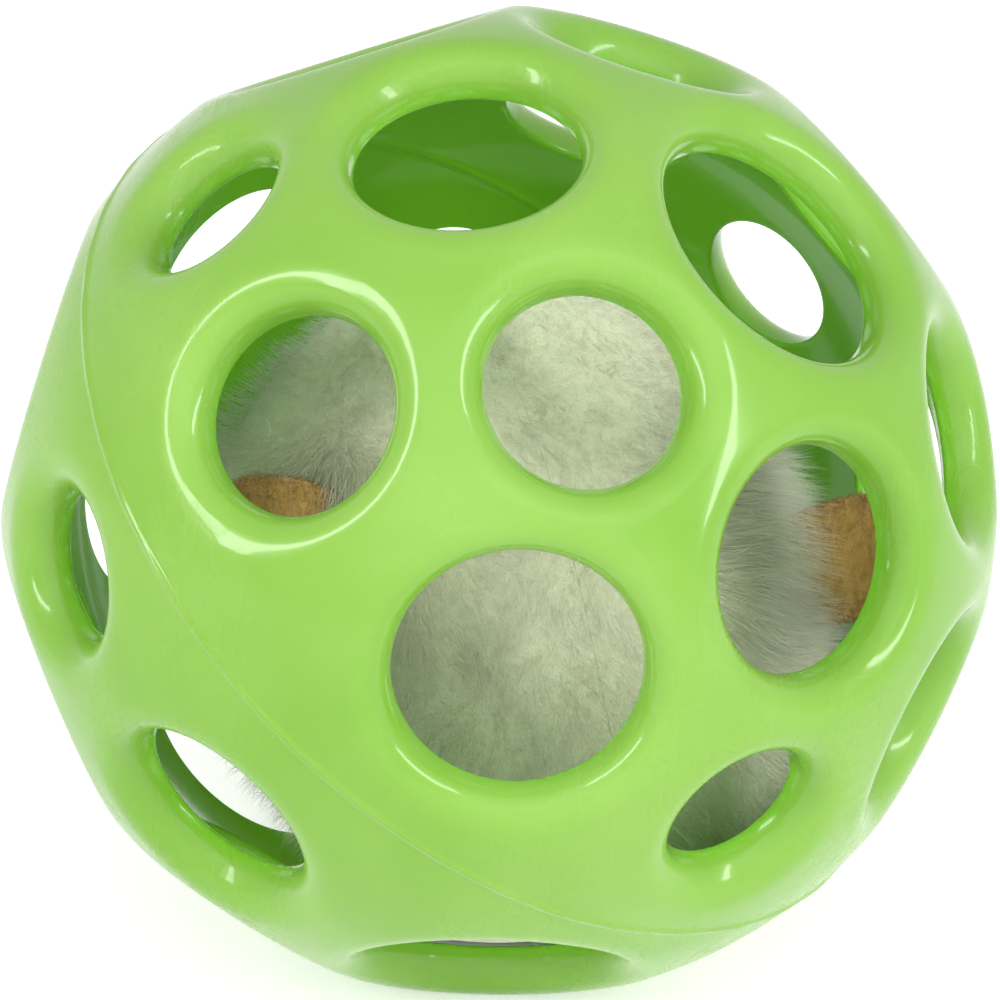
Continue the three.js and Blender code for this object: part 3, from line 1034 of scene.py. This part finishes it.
# Single long hairs that stand off the pile and curl: a straight run plus a growing coil
def makeStrays():
    count, steps = strayHairs["count"], strayHairs["steps"]
    turn, heading = pileRoots(count)
    turn = np.where(turn > 2.3, turn - 1.1, turn)  # none over the nose
    roots, normal = bodyPoint(turn, heading, 0.0), bodyNormal(turn, heading, 0.0)
    away = unit(0.8 * normal + 0.7 * randomDraws.normal(size=(count, 3)))
    side = unit(np.cross(away, randomDraws.normal(size=(count, 3))))
    other = np.cross(away, side)
    share = np.linspace(0, 1, steps)[None, :, None]
    length = strayHairs["length"] * randomDraws.uniform(*strayHairs["lengthRange"], (count, 1, 1))
    coil = randomDraws.uniform(*strayHairs["coilRange"], (count, 1, 1)) * share ** 1.2
    phase = randomDraws.uniform(*strayHairs["coilTurn"], (count, 1, 1)) * share
    paths = roots[:, None] + away[:, None] * share * length * 0.8
    paths = paths + side[:, None] * coil * np.sin(phase) + other[:, None] * coil * (1 - np.cos(phase))
    paths = heldInside(paths, pile["furthest"])
    width = strayHairs["width"] * np.linspace(1, 0, steps)[None] ** 0.3 + np.zeros((count, 1))
    points, faces, _ = spikes(paths, width)
    shades = np.full(len(points), 0.8)
    trianglePiece("stray_hairs", fromMouse(points), faces, shades, strayFinish, "mouse")


makeStrays()
print("pile made")

# Felt ears
ear = {
    "rootWidth": 9.4,
    "width": 10.6,
    "length": 14.0,
    "thickness": 1.5,
    "rootSink": 0.8,  # sewn into the pile this deep
    "bulgeShare": 0.5,
    "sideShare": 0.62,
    "tipShare": 0.72,
    "splay": 75.0,
    "cup": 0.5,
    # Powers of the section: below 1 they square its loop, and a high one keeps it thick up to the tip
    "sidePower": 0.35,
    "facePower": 0.5,
    "tipPower": 10,
    "fuzz": 5200,
    "fuzzLength": 0.55,
    "fuzzWidth": 0.05,
}
feltLumps = 0.05  # how uneven the cut felt is


# Half outline of an ear: a cubic curve from the root's corner to the tip, as along and across
def earOutline(share):
    corner = np.array([
        (-ear["rootSink"], ear["rootWidth"] / 2),
        (ear["length"] * ear["bulgeShare"], ear["width"] * ear["sideShare"]),
        (ear["length"], ear["width"] * ear["tipShare"]),
        (ear["length"], 0),
    ])
    t = share[..., None]
    points = ((1 - t) ** 3 * corner[0] + 3 * (1 - t) ** 2 * t * corner[1]
              + 3 * (1 - t) * t ** 2 * corner[2] + t ** 3 * corner[3])
    return points[..., 0], points[..., 1]


def earThinning(share):
    return np.sqrt(np.clip(1 - share ** ear["tipPower"], 0, 1))


# The ear's section at a share of its length is a flat rounded loop, dished a little between its edges
def earPoint(share, angle):
    along, across = earOutline(share)
    y = across * np.sign(np.cos(angle)) * np.abs(np.cos(angle)) ** ear["sidePower"]
    thick = ear["thickness"] / 2 * earThinning(share)
    z = thick * np.sign(np.sin(angle)) * np.abs(np.sin(angle)) ** ear["facePower"]
    dish = ear["cup"] * (y / (ear["width"] / 2)) ** 2 * share - 0.5 * ear["cup"] * share
    return np.stack([along + 0 * y, y, z + dish], axis=-1)


# Rings of points, closed at both ends by a ring that is drawn together at its middle
def capped(rings):
    first, last = (rings[end].mean(0) + 0 * rings[:1] for end in (0, -1))
    return np.concatenate([first, rings, last])


def feltEar(name, node, body, joint, side, seed, tilt, sag):
    root = np.array(joints[joint]["pos_m"]) / mm
    splay = math.radians(ear["splay"])
    outward = np.array([side * math.sin(splay), -math.cos(splay), 0])
    up = np.array([0, 0, 1.0])
    axes = mouseTurn @ np.column_stack([outward, up, np.cross(outward, up)]) @ turned("Z", tilt)
    root = root - sag * mouseTurn[:, 2]
    share = np.linspace(0, 1, 56)[:, None] ** 0.85
    angle = turnsAround(96)[None] + 0.02
    surface = earPoint(share, angle)
    surface = surface + feltLumps * slowField(surface, 21, 0.5) * earThinning(share)[..., None]
    points, faces = weldedGrid(capped(surface))
    piece = meshPiece(name, points @ axes.T + root, faces, feltFinish, body)
    repairNormals(piece)
    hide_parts(node)

    # Fuzz: short hairs that lean away from the face, side or tip that they grow on
    draws = np.random.default_rng(seed)
    where = draws.uniform(0.03, 1, ear["fuzz"]) ** 0.8
    turn = draws.uniform(0, 2 * math.pi, ear["fuzz"])
    roots = earPoint(where, turn)
    y = roots[:, 1]
    atTip, atSide = where > 0.9, np.abs(np.cos(turn)) > 0.9
    normal = unit(np.column_stack([
        0.2 + atTip * 1.5,
        0.4 * y / 5 + atSide * np.sign(y) * 1.5,
        np.sign(np.sin(turn)),
    ]))
    lean = unit(0.5 * normal + 0.6 * draws.normal(size=(ear["fuzz"], 3)))
    length = ear["fuzzLength"] * draws.uniform(0.4, 1.2, (ear["fuzz"], 1, 1))
    steps = np.array([0, 0.55, 1.0])[None, :, None]
    bend = 0.2 * draws.normal(size=(ear["fuzz"], 1, 3))
    paths = roots[:, None] + lean[:, None] * steps * length + bend * steps ** 2
    width = ear["fuzzWidth"] * np.array([1, 0.8, 0]) + np.zeros((ear["fuzz"], 1))
    points, faces, _ = spikes(paths, width)
    shades = np.full(len(points), 0.7)
    trianglePiece(name + "_fuzz", points @ axes.T + root, faces, shades, feltFinish, body)


feltEar("left_felt_ear", "left_ear", "left_ear_flap", "left_ear_flex", -1, 31, 25.0, 1.6)
feltEar("right_felt_ear", "right_ear", "right_ear_flap", "right_ear_flex", 1, 32, 0.0, 0.5)
print("ears made")

# Felt tail, along the ball's inside behind the belly
tail = {
    "width": 3.0,
    "thickness": 1.6,
    "wallGap": 1.2,
    "start": -74.0,
    "end": -9.0,
    "heading": 24.0,
    "narrowing": 0.35,  # share of its width that it has lost at the tip
    "tipPower": 40,
}


# A flat oval section carried along an arc about the ball's middle, narrowing to a rounded tip
def makeTail():
    share = np.linspace(0, 1, 120)
    reach = mouse["reach"] - tail["wallGap"] - tail["thickness"] / 2
    angle = np.radians(tail["start"] + (tail["end"] - tail["start"]) * share)[:, None]
    around = turnsAround(28)[None]
    slim = (1 - tail["narrowing"] * share) * np.sqrt(np.clip(1 - share ** tail["tipPower"], 0, 1))
    across = tail["width"] / 2 * slim[:, None] * np.cos(around)
    out = reach + tail["thickness"] / 2 * slim[:, None] * np.sin(around)
    points = np.stack([across, out * np.cos(angle), out * np.sin(angle)], axis=-1)
    points = points @ turned("Z", tail["heading"]).T
    points = points + feltLumps * slowField(points, 41, 0.5) * slim[:, None, None]
    points, faces = weldedGrid(capped(points))
    piece = meshPiece("felt_tail", fromMouse(points), faces, feltFinish, "mouse")
    repairNormals(piece)
    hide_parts("tail")


makeTail()
print("tail made")

# Eyes and nose: round beads, a little flattened where the thread draws them in
bead = {"dent": 0.06, "dentTurn": 0.3, "rows": 25, "columns": 40}


def makeBeads():
    for node in ("left_eye", "right_eye", "nose"):
        low, high = (np.array(corner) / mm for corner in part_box(node))
        middle, radius = (low + high) / 2, (high - low).min() / 2
        turn = np.linspace(0, math.pi, bead["rows"])[:, None]
        around = turnsAround(bead["columns"])[None]
        reach = radius * (1 - bead["dent"] * np.exp(-((turn / bead["dentTurn"]) ** 2)))
        grid = np.stack([
            reach * np.sin(turn) * np.cos(around),
            reach * np.sin(turn) * np.sin(around),
            reach * np.cos(turn) + 0 * around,
        ], axis=-1)
        points, faces = weldedGrid(grid)
        piece = meshPiece(node + "_bead", points + middle, faces, beadFinish, "mouse")
        repairNormals(piece)
        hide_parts(node)


makeBeads()
print("beads made")

# Studio: pale floor and white surroundings, two narrow softboxes at the sides for the highlights on the
# lips, and four broad fills
studio = {
    "floor": linear(250, 250, 250),
    "world": 0.34,
    "floorGlow": 0.5,  # lifts the floor to white where the camera sees it
    "floorSize": 1.6,
}
# Each lamp: place from the ball's middle in its radii, to the viewer's right, up and towards the
# viewer; size in metres and power in watts
lamps = {
    "rightBox": {"place": (10.9, 3.0, 8.7), "size": (0.08, 0.45), "power": 1.7},
    "leftBox": {"place": (-10.9, 3.6, 8.7), "size": (0.07, 0.45), "power": 1.6},
    "upperFill": {"place": (0.0, 11.0, 14.0), "size": (1.1, 0.8), "power": 1.2},
    "frontFill": {"place": (0.0, 2.5, 19.0), "size": (1.0, 1.0), "power": 2.2},
    "rightFill": {"place": (13.0, 2.0, 13.0), "size": (0.9, 0.9), "power": 0.7},
    "lowFill": {"place": (-2.0, -11.0, 13.0), "size": (1.0, 0.7), "power": 0.8},
}


# 1 for what the camera sees, also in gloss and through clear pieces, and 0 for light that bounces
def seenDirectly(tree):
    path = newNode(tree, "ShaderNodeLightPath")
    seen = mathNode(tree, "MAXIMUM", path.outputs["Is Camera Ray"], path.outputs["Is Glossy Ray"])
    return mathNode(tree, "MAXIMUM", seen, path.outputs["Is Transmission Ray"])


def makeStudio():
    scene = bpy.context.scene
    scene.view_settings.view_transform = "Standard"
    world = bpy.data.worlds.new("studioAir")
    world.use_nodes = True
    tree = world.node_tree
    tree.nodes.clear()
    plain = newNode(tree, "ShaderNodeBackground", {"Color": (1, 1, 1, 1), "Strength": studio["world"]})
    white = newNode(tree, "ShaderNodeBackground", {"Color": (1, 1, 1, 1), "Strength": 1.0})
    mixed = newNode(tree, "ShaderNodeMixShader")
    tree.links.new(seenDirectly(tree), mixed.inputs["Fac"])
    tree.links.new(plain.outputs[0], mixed.inputs[1])
    tree.links.new(white.outputs[0], mixed.inputs[2])
    tree.links.new(mixed.outputs[0], newNode(tree, "ShaderNodeOutputWorld").inputs["Surface"])
    scene.world = world

    half = studio["floorSize"] / 2
    mesh = bpy.data.meshes.new("floor")
    corners = [(-half, -half, 0), (half, -half, 0), (half, half, 0), (-half, half, 0)]
    mesh.from_pydata(corners, [], [(0, 1, 2, 3)])
    floor = newObject("floor", mesh)
    material, tree, shader = newMaterial("paleFloor")
    setInputs(shader, {"Base Color": studio["floor"], "Roughness": 0.7, "Emission Color": (1, 1, 1, 1)})
    glow = mathNode(tree, "MULTIPLY", seenDirectly(tree), studio["floorGlow"])
    tree.links.new(glow, shader.inputs["Emission Strength"])
    mesh.materials.append(material)
    floor.location.z = -0.00002

    for name, lamp in lamps.items():
        data = bpy.data.lights.new(name, "AREA")
        data.shape = "RECTANGLE"
        data.size, data.size_y = lamp["size"]
        data.energy = lamp["power"]
        made = newObject(name, data)
        offset = Vector((np.array(lamp["place"]) @ np.array(viewAxes())).tolist()) * ball["radius"] * mm
        turn = (-offset).to_track_quat("-Z", "Y").to_matrix().to_4x4()
        made.matrix_world = Matrix.Translation(Vector((ballCentre * mm).tolist()) + offset) @ turn


makeStudio()
print("studio made")
